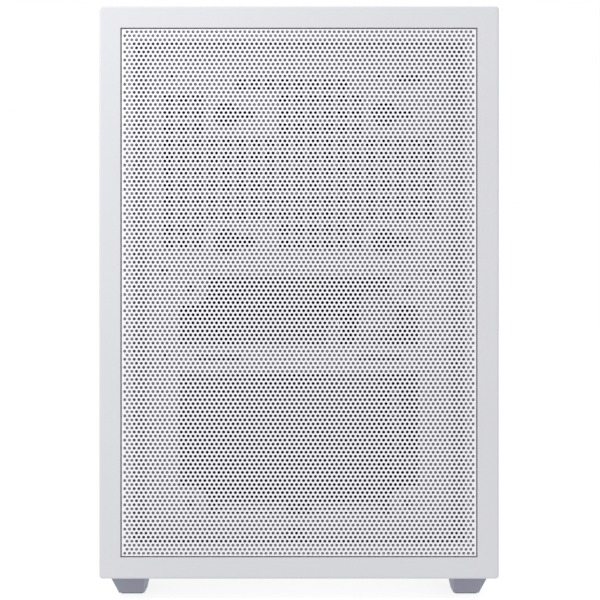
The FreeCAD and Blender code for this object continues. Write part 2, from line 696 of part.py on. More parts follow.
def make_tray():
    """The sheet that carries the board, with a window behind the processor."""
    span = ("tray_face", "tray_face + sheet")
    plate = box("tray_plate", span, ("board_front - 8", "rear_inner"), ("floor_top", "roof - sheet"))
    through = (f"tray_face - {OVER}", f"tray_face + sheet + {OVER}")
    window = box("tray_window", through, ("cpu_y - 45", "cpu_y + 45"), ("cpu_z - 48", "cpu_z + 48"))
    lead_holes = [box(f"tray_lead_hole_{number}", through, ("board_front + 14", "board_front + 30"),
                      (f"board_low + {low}", f"board_low + {low + 40}"))
                  for number, low in enumerate((60, 190))]
    keep(cut("board_tray", plate, window, *lead_holes))


def make_slot_covers():
    covers = []
    screws = []
    for number in range(4):
        z = f"slot_z + {number} * slot_pitch"
        height = (f"{z} - cover_height / 2", f"{z} + cover_height / 2")
        strip = box(f"cover_strip_{number}", ("slot_left - 3", "slot_right + 4"),
                    ("rear_inner - sheet", "rear_inner"), height)
        tab = box(f"cover_tab_{number}", ("slot_left - 3", "slot_left - 2"),
                  ("rear_inner - 12", "rear_inner"), height)
        covers.append(fuse(f"cover_{number}", strip, tab))
        screws.append(rod(f"cover_screw_{number}", "x", ("rear_inner - 7", z),
                          ("slot_left - 5.4", "slot_left - 3"), 3.2))
    keep(group("slot_covers", *covers))
    SCREWS.extend(screws)


def make_feet():
    """Four feet, each tapering to a smaller sole, with a rubber pad under each."""
    pads = []
    sole = "foot_width - foot_taper_out"
    sole_length = "foot_length - foot_taper_rear"
    for end, y_edge, sign in (("front", "foot_front", 1), ("rear", "foot_back", -1)):
        for side, hand in (("left", -1), ("right", 1)):
            name = f"foot_{end}_{side}"
            body = doc.addObject("PartDesign::Body", name)
            top_centre = (f"{hand} * (foot_outer + foot_inner) / 2",
                          f"{y_edge} + {sign} * foot_length / 2")
            low_centre = (f"{hand} * (foot_outer + foot_inner - foot_taper_out) / 2",
                          f"{y_edge} + {sign} * ({sole_length}) / 2")
            upper = rectangle(body, name + "_top", "XY_Plane", top_centre, "bottom",
                              "foot_width", "foot_length")
            lower = rectangle(body, name + "_sole", "XY_Plane", low_centre, "pad_height",
                              sole, sole_length)
            loft = body.newObject("PartDesign::AdditiveLoft", name + "_loft")
            loft.Profile = upper
            loft.Sections = [lower]
            keep(body)
            spots = [f"{low_centre[0]} {step} ({sole} - 2) / 2" for step in "-+"]
            ends = [f"{low_centre[1]} {step} ({sole_length} - 2) / 2" for step in "-+"]
            pads.append(box(f"pad_{end}_{side}", spots, ends, ("0", "pad_height")))
    keep(group("foot_pads", *pads))


# ---------------------------------------------------------------- strip with button and sockets

def make_strip():
    """The top strip: a moulding with the button and the sockets, and the board below it."""
    y = ("chassis_front", "strip_rear")
    plate = box("strip_plate", ("-half_width", "half_width"), y, ("strip_under", "top"))
    skirts = [box(f"strip_skirt_{side}", x, y, ("top - skirt", "top"))
              for side, x in (("left", ("-half_width", "-half_width + sheet")),
                              ("right", ("half_width - sheet", "half_width")))]
    through = (f"strip_under - {OVER}", f"top + {OVER}")
    hole = rod("button_hole", "z", ("button_x", "strip_y"), through, "button_radius + button_gap")
    light_hole = rod("light_hole", "z", ("button_x - 12", "strip_y"), through, 1.2)
    ports = [("usb_a_first", "button_x - 1.5 * port_pitch", 7.0, 3.4),
             ("usb_a_second", "button_x - 2.5 * port_pitch", 7.0, 3.4),
             ("usb_c", "button_x - 3.4 * port_pitch", 4.9, 2.1)]
    cutters = [box(f"{name}_hole", (f"{x} - {half}", f"{x} + {half}"),
                   (f"strip_y - {thin}", f"strip_y + {thin}"), through)
               for name, x, half, thin in ports]
    audio_x = "button_x - 4.1 * port_pitch"
    cutters.append(rod("audio_hole", "z", (audio_x, "strip_y"), through, 3.4))
    keep(cut("top_strip", fuse("strip_blank", plate, *skirts), hole, light_hole, *cutters))

    shells = []
    deep = ("io_board_top", "top - 0.4")
    for name, x, half, thin in ports:
        outer = box(f"{name}_shell", (f"{x} - {half} + 0.3", f"{x} + {half} - 0.3"),
                    (f"strip_y - {thin} + 0.3", f"strip_y + {thin} - 0.3"), deep)
        inner = box(f"{name}_well", (f"{x} - {half} + 0.7", f"{x} + {half} - 0.7"),
                    (f"strip_y - {thin} + 0.7", f"strip_y + {thin} - 0.7"), ("top - 10", "top"))
        hollow = cut(f"{name}_hollow", outer, inner)
        tongue = box(f"{name}_tongue", (f"{x} - {half} + 1.7", f"{x} + {half} - 1.7"),
                     ("strip_y - 0.6", "strip_y + 0.6"), ("top - 10", "top - 2"))
        shells.append(fuse(name, hollow, tongue))
    sleeve = rod("audio_sleeve", "z", (audio_x, "strip_y"), deep, 3.1)
    bore = rod("audio_bore", "z", (audio_x, "strip_y"), ("top - 14", "top"), 1.8)
    keep(group("front_sockets", *shells, cut("audio_socket", sleeve, bore)))
    board = box("port_board", ("button_x - 4.6 * port_pitch", "button_x + 4.4"),
                ("chassis_front + 3", "strip_rear - 2"), ("io_board_top - 1.6", "io_board_top"))
    keep(rod("status_light", "z", ("button_x - 12", "strip_y"), ("io_board_top", "top - 0.2"), 1.0))
    switch = box("button_switch", ("button_x - 3.5", "button_x + 3.5"),
                 ("strip_y - 3.5", "strip_y + 3.5"), ("io_board_top", "top - 8"))
    keep(group("front_port_board", board, switch))


def make_power_button():
    """A round cap with a flange under the strip and a short plunger over the switch."""
    body = doc.addObject("PartDesign::Body", "power_button")
    centre = ("button_x", "strip_y")
    cap = circle(body, "cap_outline", "XY_Plane", centre, "strip_under - 0.6", "button_radius")
    cap_pad = pad(body, "cap", cap, "strip_thickness + 0.6 + 0.4")
    doc.recompute()
    crown = value("top")

    def top_edge(edge):
        return all(vertex.Z > crown for vertex in edge.Vertexes)
    round_edges(body, "cap_edge", cap_pad, 0.3, top_edge)
    rim = circle(body, "rim_outline", "XY_Plane", centre, "strip_under - 1.6",
                 "button_radius + 1.4")
    pad(body, "rim", rim, "1.2")
    plunger = circle(body, "plunger_outline", "XY_Plane", centre, "top - 6", "2")
    body.Tip = pad(body, "plunger", plunger, "strip_thickness + 2.6")
    keep(body)


# ---------------------------------------------------------------- fans

def fan_frame(name, centre, front, across, depth, screws):
    """A square fan frame with a round duct, four screw holes, struts and a motor seat."""
    x, z = centre
    half = f"{across} / 2"
    rear = f"{front} + {depth}"
    span = (front, rear)
    past = (f"{front} - 1", f"{rear} + 1")
    blank = box(f"{name}_blank", (f"{x} - {half}", f"{x} + {half}"), span,
                (f"{z} - {half}", f"{z} + {half}"))
    tools = [rod(f"{name}_duct", "y", centre, past, f"{half} - 2")]
    for number, (side, level) in enumerate([(-1, -1), (1, -1), (-1, 1), (1, 1)]):
        tools.append(rod(f"{name}_hole_{number}", "y",
                         (f"{x} + {side} * {screws} / 2", f"{z} + {level} * {screws} / 2"),
                         past, "fan_hole"))
    waist = (f"{front} + 3.5", f"{rear} - 3.5")
    inner = f"{half} - 13"
    for sign in (-1, 1):
        edge = (f"{x} + {half} - 2.2", f"{x} + {half} + 1")
        if sign < 0:
            edge = (f"{x} - {half} - 1", f"{x} - {half} + 2.2")
        shelf = (f"{z} + {half} - 2.2", f"{z} + {half} + 1")
        if sign < 0:
            shelf = (f"{z} - {half} - 1", f"{z} - {half} + 2.2")
        tools.append(box(f"{name}_waist_x{sign + 1}", edge, waist,
                         (f"{z} - ({inner})", f"{z} + {inner}")))
        tools.append(box(f"{name}_waist_z{sign + 1}", (f"{x} - ({inner})", f"{x} + {inner}"),
                         waist, shelf))
    ring = cut(f"{name}_ring", blank, *tools)
    seat = rod(f"{name}_seat", "y", centre, (f"{rear} - 3", rear), "hub_radius + 1")
    rib = (f"{rear} - 3", rear)
    struts = [box(f"{name}_strut_x", (f"{x} - {half} + 1.9", f"{x} + {half} - 1.9"), rib,
                  (f"{z} - 1.5", f"{z} + 1.5")),
              box(f"{name}_strut_z", (f"{x} - 1.5", f"{x} + 1.5"), rib,
                  (f"{z} - {half} + 1.9", f"{z} + {half} - 1.9"))]
    return keep(fuse(name, ring, seat, *struts))


def fan_rotor(name, centre, front, across, depth):
    """A wheel of twisted blades on a round hub, its axis along Y."""
    body = doc.addObject("PartDesign::Body", name)
    length = f"{depth} - 6"
    hub = circle(body, name + "_hub_outline", "XY_Plane", ("0", "0"), "0", "hub_radius")
    pad(body, name + "_hub", hub, length)
    sections = []
    tip = f"{across} / 2 - 2 - tip_clearance"
    for end, reach, angle in (("root", "hub_radius - 2", "pitch_root"), ("tip", tip, "pitch_tip")):
        chord = f"min(blade_chord; ({length} - 2) / sin(pitch_root))"
        sketch = rectangle(body, f"{name}_{end}", "YZ_Plane", ("0", f"({length}) / 2"), reach,
                           chord, "blade_thickness")
        bind(sketch, "AttachmentOffset.Rotation.Angle", angle)
        sections.append(sketch)
    blade = body.newObject("PartDesign::AdditiveLoft", name + "_blade")
    blade.Profile = sections[0]
    blade.Sections = [sections[1]]
    doc.recompute()
    blades = body.newObject("PartDesign::PolarPattern", name + "_blades")
    blades.Originals = [blade]
    blades.Axis = (origin_item(body, "Z_Axis"), [""])
    blades.Angle = 360
    bind(blades, "Occurrences", "blade_count")
    body.Tip = blades
    body.Placement = FreeCAD.Placement(V(0, 0, 0), TURNS["y"])
    for direction, place in (("x", centre[0]), ("y", f"{front} + 2.5"), ("z", centre[1])):
        bind(body, f"Placement.Base.{direction}", place)
    keep(body)


def make_fans():
    rear = ("rear_fan_x", "rear_fan_z")
    fan_frame("rear_fan_frame", rear, "rear_fan_front", "rear_fan", "fan_depth", "rear_fan_screws")
    fan_rotor("rear_fan_rotor", rear, "rear_fan_front", "rear_fan", "fan_depth")
    screws = []
    for number, (side, level) in enumerate([(-1, -1), (1, -1), (-1, 1), (1, 1)]):
        spot = (f"{rear[0]} + {side} * rear_fan_screws / 2",
                f"{rear[1]} + {level} * rear_fan_screws / 2")
        head = rod(f"fan_screw_head_{number}", "y", spot, ("rear", "rear + 1.8"), 3.6)
        shank = rod(f"fan_screw_shank_{number}", "y", spot, ("rear - 9", "rear"), 1.9)
        screws.append(fuse(f"fan_screw_{number}", head, shank))
    SCREWS.extend(screws)
    cooler = ("fin_x", "cpu_z")
    fan_frame("cooler_fan_frame", cooler, "cooler_fan_front", "cooler_fan", "fan_depth", 105)
    fan_rotor("cooler_fan_rotor", cooler, "cooler_fan_front", "cooler_fan", "fan_depth")
    psu = (0, "psu_z")
    fan_frame("psu_fan_frame", psu, "psu_fan_front", "psu_fan", "psu_fan_depth", 82.5)
    fan_rotor("psu_fan_rotor", psu, "psu_fan_front", "psu_fan", "psu_fan_depth")


# ---------------------------------------------------------------- power supply and mains

INLET_SHIFT = -34
SWITCH_SHIFT = 22


def inlet(name, x, z, mouth, inside, sign):
    """A three-pin appliance inlet; its open side is at mouth, looking along sign * Y."""
    half = "inlet_width / 2 - 0.5"
    tall = "inlet_height / 2 - 0.5"
    span = (inside, mouth) if sign > 0 else (mouth, inside)
    body = box(f"{name}_block", (f"{x} - ({half})", f"{x} + {half}"), span,
               (f"{z} - ({tall})", f"{z} + {tall}"))
    floor = f"{mouth} - {sign} * 15"
    well_span = (floor, f"{mouth} + 1") if sign > 0 else (f"{mouth} - 1", floor)
    well = box(f"{name}_well", (f"{x} - 11.8", f"{x} + 11.8"), well_span,
               (f"{z} - 8.2", f"{z} + 8.2"))
    shell = cut(f"{name}_shell", body, well)
    pins = []
    for number, (dx, dz) in enumerate([(-7, -2), (7, -2), (0, 2)]):
        pin_span = (floor, f"{mouth} - 2") if sign > 0 else (f"{mouth} + 2", floor)
        pins.append(box(f"{name}_pin_{number}", (f"{x} + {dx} - 1", f"{x} + {dx} + 1"), pin_span,
                        (f"{z} + {dz} - 2", f"{z} + {dz} + 2")))
    return fuse(name + "_core", shell, *pins)


def make_power_inlet():
    core = inlet("power_inlet", "inlet_x", "inlet_z", "rear + 1", "rear - inlet_depth", 1)
    bezel = box("inlet_bezel", ("inlet_x - inlet_width / 2 - 3", "inlet_x + inlet_width / 2 + 3"),
                ("rear", "rear + rear_proud"),
                ("inlet_z - inlet_height / 2 - 3", "inlet_z + inlet_height / 2 + 3"))
    opening = box("inlet_bezel_hole", ("inlet_x - 11.8", "inlet_x + 11.8"),
                  ("rear - 1", "rear + rear_proud + 1"), ("inlet_z - 8.2", "inlet_z + 8.2"))
    keep(fuse("power_inlet", core, cut("inlet_ring", bezel, opening)))


def make_psu():
    """A small power supply that hangs from a steel bracket, its fan facing the front plate."""
    x = ("-psu_width / 2", "psu_width / 2")
    y = ("psu_front", "psu_rear")
    wall = "psu_wall"
    case = box("psu_case", x, y, ("psu_low", "psu_top"))
    room = box("psu_room", (f"{x[0]} + {wall}", f"{x[1]} - {wall}"),
               (f"psu_front + {wall}", f"psu_rear - {wall}"),
               (f"psu_low + {wall}", f"psu_top - {wall}"))
    grille = rod("psu_grille_hole", "y", (0, "psu_z"), ("psu_front - 1", "psu_front + 2"),
                 "psu_fan / 2 - 3")
    mid = "(psu_front + psu_rear) / 2"
    top_holes = [
        box("psu_inlet_hole", (f"{INLET_SHIFT} - 13.5", f"{INLET_SHIFT} + 13.5"),
            (f"{mid} - 10", f"{mid} + 10"), ("psu_top - 3", "psu_top + 3")),
        box("psu_switch_hole", (f"{SWITCH_SHIFT} - 6", f"{SWITCH_SHIFT} + 6"),
            (f"{mid} - 11", f"{mid} + 11"), ("psu_top - 3", "psu_top + 3"))]
    vents = [box(f"psu_vent_{row}_{number}", (f"{left}", f"{left} + 16"),
                 (f"psu_rear - 8 - {row} * 6", f"psu_rear - 5 - {row} * 6"),
                 ("psu_top - 3", "psu_top + 3"))
             for row in range(2) for number, left in enumerate((-8, 12, 32))]
    keep(cut("psu_housing", case, room, grille, *top_holes, *vents))
    rings = []
    for number, radius in enumerate((10, 18, 26, 34, 42)):
        ring = doc.addObject("Part::Torus", f"grille_ring_{number}")
        ring.Placement = FreeCAD.Placement(V(0, 0, 0), TURNS["y"])
        ring.Radius1 = radius
        ring.Radius2 = 0.7
        bind(ring, "Placement.Base.y", "psu_front - 0.8")
        bind(ring, "Placement.Base.z", "psu_z")
        rings.append(ring)
    spokes = [box("grille_spoke_x", (-45, 45), ("psu_front - 0.8", "psu_front"),
                  ("psu_z - 1", "psu_z + 1")),
              box("grille_spoke_z", (-1, 1), ("psu_front - 0.8", "psu_front"),
                  ("psu_z - 45", "psu_z + 45"))]
    keep(fuse("psu_fan_guard", *rings, *spokes))
    room_x = 55
    board = box("psu_board", (-room_x, room_x), ("psu_rear - 9", "psu_rear - 7.4"),
                ("psu_low + 5", "psu_top - 24"))
    coil = box("psu_transformer", (-18, 14), ("psu_rear - 40", "psu_rear - 9"),
               ("psu_low + 30", "psu_low + 62"))
    cans = [rod(f"psu_capacitor_{number}", "y", (place, "psu_low + 18"),
                ("psu_rear - 38", "psu_rear - 9"), 9) for number, place in enumerate((-42, -20, 30))]
    sink = box("psu_heat_sink", (24, 50), ("psu_rear - 40", "psu_rear - 9"),
               ("psu_low + 34", "psu_low + 68"))
    feet = [box(f"psu_board_post_{number}", (place, place + 4), ("psu_rear - 7.4", "psu_rear - 1"),
                ("psu_low + 8", "psu_low + 12")) for number, place in enumerate((-52, 48))]
    keep(fuse("psu_circuit", board, coil, *cans, sink, *feet))
    make_psu_top(mid)


def make_psu_top(mid):
    """The bracket, the inlet, the rocker switch, the screws and the output sockets."""
    plate = box("bracket_plate", ("-psu_width / 2 - 6", "psu_width / 2 + 6"),
                ("raised_front + sheet", "psu_rear"), ("psu_top", "psu_top + bracket"))
    lip = box("bracket_lip", ("-psu_width / 2 - 6", "psu_width / 2 + 6"),
              ("raised_front + sheet", "raised_front + sheet + bracket"),
              ("psu_top", "psu_top + 11"))
    over = ("psu_top - 1", "psu_top + bracket + 1")
    holes = [
        box("bracket_inlet_hole", (f"{INLET_SHIFT} - 14", f"{INLET_SHIFT} + 14"),
            (f"{mid} - 10.5", f"{mid} + 10.5"), over),
        box("bracket_switch_hole", (f"{SWITCH_SHIFT} - 6.5", f"{SWITCH_SHIFT} + 6.5"),
            (f"{mid} - 11.5", f"{mid} + 11.5"), over),
        box("bracket_vent_hole", (-10, 50), ("psu_rear - 15", "psu_rear - 4"), over)]
    keep(cut("psu_bracket", fuse("bracket_blank", plate, lip), *holes))
    screws = []
    for number, (px, py) in enumerate([("-psu_width / 2 + 6", "psu_front + 6"),
                                       ("psu_width / 2 - 6", "psu_front + 6"),
                                       ("-psu_width / 2 + 6", "psu_rear - 6"),
                                       ("psu_width / 2 - 6", "psu_rear - 6")]):
        screws.append(rod(f"psu_screw_{number}", "z", (px, py),
                          ("psu_top + bracket", "psu_top + bracket + 2"), 3.2))
    SCREWS.extend(screws)
    block = box("psu_inlet_block", (f"{INLET_SHIFT} - 13.2", f"{INLET_SHIFT} + 13.2"),
                (f"{mid} - 9.7", f"{mid} + 9.7"), ("psu_top - 14", "psu_top + bracket + 0.8"))
    well = box("psu_inlet_well", (f"{INLET_SHIFT} - 11.8", f"{INLET_SHIFT} + 11.8"),
               (f"{mid} - 8.2", f"{mid} + 8.2"), ("psu_top - 12", "psu_top + bracket + 2"))
    psu_inlet = cut("psu_inlet", block, well)
    frame = box("rocker_frame", (f"{SWITCH_SHIFT} - 5.8", f"{SWITCH_SHIFT} + 5.8"),
                (f"{mid} - 10.8", f"{mid} + 10.8"), ("psu_top - 10", "psu_top + bracket + 0.8"))
    slot = box("rocker_slot", (f"{SWITCH_SHIFT} - 4.6", f"{SWITCH_SHIFT} + 4.6"),
               (f"{mid} - 9.6", f"{mid} + 9.6"), ("psu_top - 8.5", "psu_top + bracket + 2"))
    housing = cut("rocker_housing", frame, slot)
    sockets = [box(f"psu_output_{number}", (place, place + width),
                   ("psu_rear - 40", "psu_rear - 26"), ("psu_low - 6", "psu_low"))
               for number, (place, width) in enumerate(((-52, 24), (-22, 18), (2, 18), (26, 28)))]
    keep(group("psu_sockets", psu_inlet, housing, *sockets))
    make_rocker(mid)


def make_rocker(mid):
    """A rocker with a shallow V across its top, tipped to its off side."""
    body = doc.addObject("PartDesign::Body", "psu_rocker")
    sketch = sketch_on(body, "rocker_side", "YZ_Plane", ("0", "0"), "-3.9")
    points = [V(-7.5, 5, 0), V(0, 3.4, 0), V(7.5, 5, 0), V(6.4, -1.5, 0), V(0, -3.5, 0),
              V(-6.4, -1.5, 0)]
    for start, end in zip(points, points[1:] + points[:1]):
        sketch.addGeometry(Part.LineSegment(start, end), False)
    count = len(points)
    sketch.addConstraint([Sketcher.Constraint("Coincident", line, 2, (line + 1) % count, 1)
                          for line in range(count)])
    sketch.addConstraint([Sketcher.Constraint("Block", line) for line in range(count)])
    pad(body, "rocker_block", sketch, "7.8")
    body.Placement = FreeCAD.Placement(V(0, 0, 0), FreeCAD.Rotation(V(1, 0, 0), -9))
    for direction, place in (("x", SWITCH_SHIFT), ("y", mid), ("z", "psu_top - 2")):
        bind(body, f"Placement.Base.{direction}", place)
    keep(body)


# ---------------------------------------------------------------- main board

def make_board():
    face = "board_face"
    plate = box("board_plate", (face, "board_back"), ("board_front", "board_rear"),
                ("board_low", "board_high"))
    posts, screws, holes = [], [], []
    columns = ("board_rear - 10", "board_rear - 170", "board_front + 8")
    rows = ("board_low + 7", "board_low + 86", "board_high - 7")
    spots = [(y, z) for y in columns for z in rows]
    for number, spot in enumerate(spots):
        posts.append(rod(f"post_{number}", "x", spot, ("board_back", "tray_face"), 3))
        holes.append(rod(f"board_hole_{number}", "x", spot, (f"{face} - 1", "board_back + 1"), 2))
        head = rod(f"board_screw_head_{number}", "x", spot, (f"{face} - 2", face), 3.2)
        shank = rod(f"board_screw_shank_{number}", "x", spot, (face, "board_back"), 1.6)
        screws.append(fuse(f"board_screw_{number}", head, shank))
    keep(cut("main_board", plate, *holes))
    keep(group("standoffs", *posts))
    SCREWS.extend(screws)
    connectors = []
    connectors.append(box("processor_socket", (f"{face} - 3.4", face), ("cpu_y - 24", "cpu_y + 24"),
             ("cpu_z - 28", "cpu_z + 28")))
    keep(box("processor", ("base_back", f"{face} - 3.4"), ("cpu_y - 19", "cpu_y + 19"),
             ("cpu_z - 19", "cpu_z + 19")))
    slots, modules = [], []
    half = "module_length / 2"
    for number in range(4):
        y = f"cpu_y - 49 - {number} * 9.5"
        slots.append(box(f"memory_slot_{number}", (f"{face} - 6", face), (f"{y} - 3.4", f"{y} + 3.4"),
                         (f"cpu_z - {half} - 4", f"cpu_z + {half} + 4")))
        if number % 2:
            thick = "module_thickness / 2"
            modules.append(box(f"memory_module_{number}",
                               (f"{face} - module_height", f"{face} - 6"),
                               (f"{y} - {thick}", f"{y} + {thick}"),
                               (f"cpu_z - {half}", f"cpu_z + {half}")))
    keep(group("memory_modules", *modules))
    lengths = (89, 25, 25, 89)
    slots += [
        box(f"expansion_slot_{number}", (f"{face} - 11", face),
            (f"board_rear - 55 - {lengths[number]}", "board_rear - 55"),
            (f"slot_z + {number} * slot_pitch - 3.7", f"slot_z + {number} * slot_pitch + 3.7"))
        for number in range(4)]
    keep(group("board_slots", *slots))
    connectors += [
        box("main_power_socket", (f"{face} - 13", face), ("board_front + 3", "board_front + 13"),
            ("board_low + 142", "board_low + 194")),
        box("cpu_power_socket", (f"{face} - 13", face), ("board_rear - 50", "board_rear - 32"),
            ("board_high - 13", "board_high - 3"))]
    connectors += [
        box(f"drive_socket_{number}", (f"{face} - 8", face), ("board_front + 1", "board_front + 14"),
            (f"board_low + {low}", f"board_low + {low + 18}"))
        for number, low in enumerate((36, 58))]
    keep(box("solid_state_drive", (f"{face} - 5", f"{face} - 1.8"),
             ("board_rear - 122", "board_rear - 42"), ("cpu_z - 82", "cpu_z - 60")))
    connectors += [
        box("drive_card_socket", (f"{face} - 6", face), ("board_rear - 130", "board_rear - 122"),
            ("cpu_z - 82", "cpu_z - 60")),
        rod("drive_post", "x", ("board_rear - 46", "cpu_z - 71"), (f"{face} - 1.8", face), 2.6)]
    keep(rod("clock_battery", "x", ("board_front + 88", "board_low + 44"), (f"{face} - 5", face), 10))
    connectors.append(box("header_plug", (f"{face} - 10", face),
                          ("board_front + 4", "board_front + 10"),
                          ("board_high - 27", "board_high - 11.5")))
    keep(group("board_connectors", *connectors))


def finned(name, x, y, z, count, along):
    """A block heat sink: a base on the board with upright fins."""
    low, high = x
    start, end = y if along == "y" else z
    step = f"(({end}) - ({start})) / {count}"
    slab = box(f"{name}_slab", (f"{high} - 4", high), y, z)
    fins = []
    for number in range(count):
        span = (f"{start} + {number} * {step}", f"{start} + {number} * {step} + 0.5 * {step}")
        fins.append(box(f"{name}_fin_{number}", (low, f"{high} - 4"),
                        span if along == "y" else y, z if along == "y" else span))
    return fuse(name, slab, *fins)


def make_heat_sinks():
    face = "board_face"
    tall = (f"{face} - 24", face)
    keep(group("regulator_heat_sinks",
               finned("top_sink", tall, ("cpu_y - 30", "cpu_y + 34"),
                      ("cpu_z + 52", "cpu_z + 61"), 16, "y"),
               finned("rear_sink", tall, ("cpu_y + 38", "cpu_y + 52"),
                      ("cpu_z - 20", "cpu_z + 40"), 15, "z")))
    keep(finned("chipset_heat_sink", (f"{face} - 12", face),
                ("board_front + 26", "board_front + 70"), ("board_low + 26", "board_low + 72"),
                11, "z"))


def make_cooler():
    """A tower cooler: base block with legs, four heat pipes and a stack of thin fins."""
    block = box("cooler_block", ("base_front", "base_back"), ("cpu_y - 20", "cpu_y + 20"),
                ("cpu_z - 20", "cpu_z + 20"))
    legs = []
    for number, (side, level) in enumerate([(-1, -1), (1, -1), (-1, 1), (1, 1)]):
        spot = (f"cpu_y + {side} * 27.5", f"cpu_z + {level} * 37.5")
        legs.append(rod(f"cooler_leg_{number}", "x", spot, ("base_front + 2", "board_face"), 3))
    bars = [box(f"cooler_bar_{number}", ("base_front + 2", "base_front + 4"), y,
                ("cpu_z - 42", "cpu_z + 42"))
            for number, y in enumerate((("cpu_y - 32", "cpu_y - 20"), ("cpu_y + 20", "cpu_y + 32")))]
    keep(fuse("cooler_base", block, *bars, *legs))

    level = (value("base_front") + value("base_back")) / 2
    reach = value("pipe_spread")
    tip = value("fin_top") - 3
    radius = value("pipe_radius")
    rows = [value("fin_front") + shift for shift in (9, 18, 27, 36)]
    starts = [value("cpu_y") + shift for shift in (-13.5, -4.5, 4.5, 13.5)]
    pipes, channels = [], []
    for y, start_y in zip(rows, starts):
        for side in (-1, 1):
            edge = V(level, start_y, value("cpu_z") + side * 20)
            knee = V(level, start_y, value("cpu_z") + side * reach)
            rise = V(value("fin_low") + 3, y, value("cpu_z") + side * reach)
            pipes.append(tube([edge, knee, rise, V(tip, y, rise.z)], 2 * radius,
                              f"heat pipe {len(pipes) + 1}"))
            channels.append(Part.makeCylinder(radius, rise.x - tip + 2, V(tip - 1, y, rise.z),
                                              V(1, 0, 0)))
    keep(feature("heat_pipes", Part.makeCompound(pipes)))
    count = 36
    pitch = (value("fin_length") - 4) / count
    blank = Part.makeCompound([
        Part.makeBox(0.5, value("fin_depth"), value("cooler_fan") - 4,
                     V(value("fin_top") + number * pitch, value("fin_front"),
                       value("cpu_z") - value("cooler_fan") / 2 + 2)) for number in range(count)])
    keep(feature("cooler_fins", blank.cut(channels)))


def make_io():
    """The stack of rear sockets and the thin shield around them."""
    face = "board_face"
    stack = [("combo", 226, 14, 16), ("video", 207, 17, 22), ("usb_upper", 188, 14, 16),
             ("usb_lower", 166, 14, 16), ("network", 143, 16, 29), ("audio", 110, 13, 36)]
    ports, openings = [], []
    for name, lift, wide, tall in stack:
        low = f"board_low + {lift} - {wide} / 2"
        z = (low, f"{low} + {wide}")
        x = (f"{face} - {tall}", face)
        outer = box(f"port_{name}_block", x, ("rear_inner - 20", "rear - 0.3"), z)
        if name == "audio":
            wells = [rod(f"port_{name}_bore_{step}", "y",
                         (f"{face} - 6 - {step} * 12", f"board_low + {lift}"),
                         ("rear_inner - 14", "rear + 1"), 2.2) for step in range(3)]
        else:
            rows = 2 if tall < 20 or name == "video" else 1
            gap = (tall - 2) / rows
            wells = [box(f"port_{name}_well_{step}",
                         (f"{face} - {tall} + 1.2 + {step * gap}",
                          f"{face} - {tall} + {step * gap + gap - 0.6}"),
                         ("rear_inner - 12", "rear + 1"), (f"{low} + 0.9", f"{low} + {wide} - 0.9"))
                     for step in range(rows)]
        ports.append(cut(f"port_{name}", outer, *wells))
        openings.append(box(f"shield_{name}_hole", (f"{face} - {tall} - 0.3", "io_right + 3"),
                            ("rear_inner - 2", "rear_inner + 1"),
                            (f"{low} - 0.3", f"{low} + {wide} + 0.3")))
    keep(group("rear_sockets", *ports))
    shield = box("shield_blank", ("io_left - 2", "io_right - 0.2"),
                 ("rear_inner - 0.6", "rear_inner"), ("io_low - 0.5", "io_top + 2"))
    keep(cut("socket_shield", shield, *openings))


# ---------------------------------------------------------------- internal leads

MAINS_ROUTE = [(-35, -88, 265), (-35, -74, 265), (-62, -54, 264), (-85, -30, 258),
               (-89.4, 5, 246), (-89.4, 52, 215), (-89.2, 98, 180), (-86, 120, 159),
               (-74, 132, 146), (-58, 134, 138), (-58, 147.9, 138)]
BUNDLE_ROUTE = [(-40, -117, 146.9), (-40, -116, 124), (-24, -108, 104), (4, -94, 98),
                (26, -80, 116), (30, -66, 146), (32, -64.8, 168), (35, -64.4, 191),
                (50.9, -64.4, 191)]
SIGNAL_ROUTE = [(40, -138.6, 265.2), (40, -130, 265.2), (44, -114, 264), (43, -90, 262),
                (42, -74, 256), (45, -66.6, 248), (53.9, -66.5, 248)]


def make_leads():
    """The leads that stay inside the case, and the angled plug of the mains lead."""
    mid = "(psu_front + psu_rear) / 2"
    plug_low = "psu_top + bracket + 0.8"
    plug = box("plug_body", (f"{INLET_SHIFT} - 12.5", f"{INLET_SHIFT} + 12.5"),
               (f"{mid} - 9", f"{mid} + 9"), (plug_low, "roof - 7"))
    neck = box("plug_neck", (f"{INLET_SHIFT} - 6", f"{INLET_SHIFT} + 4"),
               (f"{mid} + 9", "-88"), ("260", "270"))
    core = box("plug_core", (f"{INLET_SHIFT} - 11.4", f"{INLET_SHIFT} + 11.4"),
               (f"{mid} - 7.8", f"{mid} + 7.8"), ("psu_top - 10", plug_low))
    keep(fuse("mains_plug", plug, neck, core))
    for name, route, diameter in (("mains_lead", MAINS_ROUTE, "mains_lead"),
                                  ("board_power_lead", BUNDLE_ROUTE, "power_bundle"),
                                  ("port_lead", SIGNAL_ROUTE, "signal_lead")):
        keep(feature(name, tube([V(*point) for point in route], value(diameter), name)))


# ---------------------------------------------------------------- build and write

make_front_panel()
make_side_panels()
make_top_panel()
make_studs_and_sockets()
make_floor()
make_front_plate()
make_rear_plate()
make_top_frame()
make_tray()
make_slot_covers()
make_feet()
make_strip()
make_power_button()
make_fans()
make_power_inlet()
make_psu()
make_board()
make_heat_sinks()
make_cooler()
make_io()
make_leads()
keep(group("screws", *SCREWS))
doc.recompute()

failed = [item.Name for item in doc.Objects if "Invalid" in item.State or "Error" in item.State]
failed += [item.Name for item in NODES if item.Shape.isNull() or not item.Shape.isValid()]
if failed:
    raise RuntimeError(f"these objects failed: {failed}")
os.makedirs("parts", exist_ok=True)
for item in NODES:
    assert item.Label == item.Name, f"{item.Name} shares its label"
    item.Shape.exportStep(f"parts/{item.Name}.step")
print(f"{len(NODES)} sub-parts written")
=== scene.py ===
import math

import bmesh
import bpy
from mathutils import Matrix, Vector


